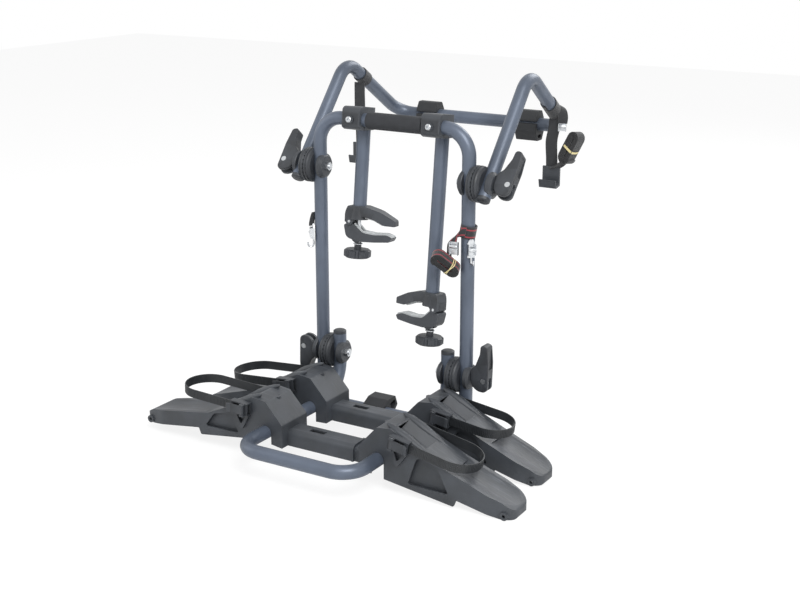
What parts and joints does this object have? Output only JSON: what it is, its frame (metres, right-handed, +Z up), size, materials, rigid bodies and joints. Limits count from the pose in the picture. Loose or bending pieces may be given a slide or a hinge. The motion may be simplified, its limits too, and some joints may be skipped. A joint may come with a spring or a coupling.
{
  "type": "tailgate bike rack",
  "caption": "Folding bike rack of bent steel tube for a car tailgate, with moulded wheel trays, ratchet straps, toothed hinges with cam levers and arms with frame claws.",
  "frame": {"origin": "on the floor plane under the middle of the whole rack", "axes": "+X across the car from the shorter arm to the longer one, +Y towards the car, +Z up"},
  "size_m": [0.94, 0.8298, 0.8063],
  "materials": {
    "coated_steel": "satin anthracite powder coat",
    "tray_plastic": "fine-grained moulded plastic",
    "black_plastic": "fine-grained moulded plastic",
    "strap_plastic": "smooth moulded strap",
    "soft_liner": "matt soft plastic",
    "rubber": "matt rubber",
    "foam": "fine closed-cell foam",
    "webbing": "woven webbing",
    "zinc_steel": "bright zinc plate"
  },
  "bodies": {
    "main_frame": {"main_frame_tube": "coated_steel", "foam_sleeve": "foam", "post_saddles": "black_plastic", "lower_hinge_bolts": "zinc_steel", "post_straps": "webbing", "post_strap_buckles": "zinc_steel"},
    "platform": {"platform_tube": "coated_steel", "platform_end_caps": "black_plastic", "platform_saddles": "black_plastic", "front_tray_left": "tray_plastic", "front_tray_right": "tray_plastic", "rear_tray_left": "tray_plastic", "rear_tray_right": "tray_plastic", "tray_screws": "zinc_steel", "front_strap_left": "strap_plastic", "front_strap_right": "strap_plastic", "rear_strap_left": "strap_plastic", "rear_strap_right": "strap_plastic", "buckle_cases": "black_plastic", "buckle_pins": "zinc_steel"},
    "upper_frame": {"upper_frame_tube": "coated_steel", "leg_end_caps": "black_plastic", "leg_saddles": "black_plastic", "upper_hinge_bolts": "zinc_steel", "upper_straps": "webbing", "upper_strap_hooks": "black_plastic"},
    "lower_lever_left": {"lower_lever_left": "black_plastic"},
    "upper_lever_left": {"upper_lever_left": "black_plastic"},
    "lower_lever_right": {"lower_lever_right": "black_plastic"},
    "upper_lever_right": {"upper_lever_right": "black_plastic"},
    "arm_left": {"bracket_left": "black_plastic", "bracket_bolt_left": "zinc_steel", "arm_left": "coated_steel"},
    "claw_left": {"claw_body_left": "black_plastic", "claw_upper_liner_left": "soft_liner", "claw_hardware_left": "zinc_steel"},
    "jaw_left": {"claw_jaw_left": "black_plastic", "claw_lower_liner_left": "soft_liner"},
    "washer_left": {"claw_washer_left": "zinc_steel"},
    "knob_left": {"claw_knob_left": "black_plastic"},
    "arm_right": {"bracket_right": "black_plastic", "bracket_bolt_right": "zinc_steel", "arm_right": "coated_steel"},
    "claw_right": {"claw_body_right": "black_plastic", "claw_upper_liner_right": "soft_liner", "claw_hardware_right": "zinc_steel"},
    "jaw_right": {"claw_jaw_right": "black_plastic", "claw_lower_liner_right": "soft_liner"},
    "washer_right": {"claw_washer_right": "zinc_steel"},
    "knob_right": {"claw_knob_right": "black_plastic"},
    "upper_pad_left": {"upper_pad_left": "rubber"},
    "upper_pad_right": {"upper_pad_right": "rubber"},
    "lower_pad_left": {"lower_pad_left": "rubber"},
    "lower_pad_right": {"lower_pad_right": "rubber"},
    "front_buckle_lever_left": {"front_buckle_lever_left": "black_plastic"},
    "front_buckle_lever_right": {"front_buckle_lever_right": "black_plastic"},
    "rear_buckle_lever_left": {"rear_buckle_lever_left": "black_plastic"},
    "rear_buckle_lever_right": {"rear_buckle_lever_right": "black_plastic"}
  },
  "joints": [
    {"name": "platform_fold", "type": "hinge", "parent": "main_frame", "child": "platform", "pos_m": [0.02, -0.00514, 0.165], "axis": [-1, 0, 0], "range_deg": [-3, 38]},
    {"name": "upper_frame_fold", "type": "hinge", "parent": "main_frame", "child": "upper_frame", "pos_m": [0.02, -0.00514, 0.595], "axis": [1, 0, 0], "range_deg": [-60, 100]},
    {"name": "lower_lever_left_turn", "type": "hinge", "parent": "main_frame", "child": "lower_lever_left", "pos_m": [-0.216, -0.00514, 0.165], "axis": [0, 1, 0], "range_deg": [0, 100]},
    {"name": "upper_lever_left_turn", "type": "hinge", "parent": "upper_frame", "child": "upper_lever_left", "pos_m": [-0.262, -0.00514, 0.595], "axis": [0, -0.7623, 0.6472], "range_deg": [0, 100]},
    {"name": "lower_lever_right_turn", "type": "hinge", "parent": "main_frame", "child": "lower_lever_right", "pos_m": [0.256, -0.00514, 0.165], "axis": [0, 1, 0], "range_deg": [0, 100]},
    {"name": "upper_lever_right_turn", "type": "hinge", "parent": "upper_frame", "child": "upper_lever_right", "pos_m": [0.302, -0.00514, 0.595], "axis": [0, 0.7623, -0.6472], "range_deg": [0, 100]},
    {"name": "arm_left_swing", "type": "hinge", "parent": "main_frame", "child": "arm_left", "pos_m": [-0.073, -0.00514, 0.706], "axis": [1, 0, 0], "range_deg": [-95, 35]},
    {"name": "claw_left_swivel", "type": "hinge", "parent": "arm_left", "child": "claw_left", "pos_m": [-0.073, 0.00493, 0.47638], "axis": [0, 0.1132, 0.9936], "range_deg": [-90, 90]},
    {"name": "jaw_left_pinch", "type": "hinge", "parent": "claw_left", "child": "jaw_left", "pos_m": [-0.08983, 0.00258, 0.47665], "axis": [0.1392, -0.9839, 0.1121], "range_deg": [-13, 8]},
    {"name": "washer_left_slide", "type": "slide", "parent": "claw_left", "child": "washer_left", "axis": [0, 0.1132, 0.9936], "range_m": [-0.0042, 0.0026]},
    {"name": "knob_left_turn", "type": "hinge", "parent": "washer_left", "child": "knob_left", "pos_m": [-0.073, -0.00322, 0.40485], "axis": [0, 0.1132, 0.9936], "range_deg": [-440, 270]},
    {"name": "arm_right_swing", "type": "hinge", "parent": "main_frame", "child": "arm_right", "pos_m": [0.125, -0.00514, 0.706], "axis": [1, 0, 0], "range_deg": [-95, 35]},
    {"name": "claw_right_swivel", "type": "hinge", "parent": "arm_right", "child": "claw_right", "pos_m": [0.125, -0.01397, 0.31046], "axis": [0, 0.1132, 0.9936], "range_deg": [-90, 90]},
    {"name": "jaw_right_pinch", "type": "hinge", "parent": "claw_right", "child": "jaw_right", "pos_m": [0.14183, -0.01633, 0.31073], "axis": [0.1392, 0.9839, -0.1121], "range_deg": [-13, 8]},
    {"name": "washer_right_slide", "type": "slide", "parent": "claw_right", "child": "washer_right", "axis": [0, 0.1132, 0.9936], "range_m": [-0.0042, 0.0026]},
    {"name": "knob_right_turn", "type": "hinge", "parent": "washer_right", "child": "knob_right", "pos_m": [0.125, -0.02213, 0.23892], "axis": [0, 0.1132, 0.9936], "range_deg": [-440, 270]},
    {"name": "upper_pad_left_turn", "type": "hinge", "parent": "upper_frame", "child": "upper_pad_left", "pos_m": [-0.114, 0.39386, 0.661], "axis": [1, 0, 0], "range_deg": [-35, 35]},
    {"name": "upper_pad_right_turn", "type": "hinge", "parent": "upper_frame", "child": "upper_pad_right", "pos_m": [0.154, 0.39386, 0.661], "axis": [1, 0, 0], "range_deg": [-35, 35]},
    {"name": "lower_pad_left_turn", "type": "hinge", "parent": "main_frame", "child": "lower_pad_left", "pos_m": [-0.025, -0.00514, 0.035], "axis": [1, 0, 0], "range_deg": [-35, 35]},
    {"name": "lower_pad_right_turn", "type": "hinge", "parent": "main_frame", "child": "lower_pad_right", "pos_m": [0.108, -0.00514, 0.035], "axis": [1, 0, 0], "range_deg": [-35, 35]},
    {"name": "front_buckle_lever_left_turn", "type": "hinge", "parent": "platform", "child": "front_buckle_lever_left", "pos_m": [-0.16701, -0.32024, 0.11443], "axis": [0.0436, 0, 0.999], "range_deg": [0, 60]},
    {"name": "front_buckle_lever_right_turn", "type": "hinge", "parent": "platform", "child": "front_buckle_lever_right", "pos_m": [0.20724, -0.32024, 0.11748], "axis": [-0.1908, 0, -0.9816], "range_deg": [0, 60]},
    {"name": "rear_buckle_lever_left_turn", "type": "hinge", "parent": "platform", "child": "rear_buckle_lever_left", "pos_m": [-0.16704, -0.15124, 0.11602], "axis": [-0.0785, 0, 0.9969], "range_deg": [0, 60]},
    {"name": "rear_buckle_lever_right_turn", "type": "hinge", "parent": "platform", "child": "rear_buckle_lever_right", "pos_m": [0.20711, -0.15124, 0.1167], "axis": [-0.1305, 0, -0.9914], "range_deg": [0, 60]}
  ],
  "couplings": [
    {"joint": "washer_left_slide", "follows": "knob_left_turn", "m_per_rad": 0.0004775},
    {"joint": "jaw_left_pinch", "follows": "knob_left_turn", "ratio": 0.028086},
    {"joint": "washer_right_slide", "follows": "knob_right_turn", "m_per_rad": 0.0004775},
    {"joint": "jaw_right_pinch", "follows": "knob_right_turn", "ratio": 0.028086}
  ]
}
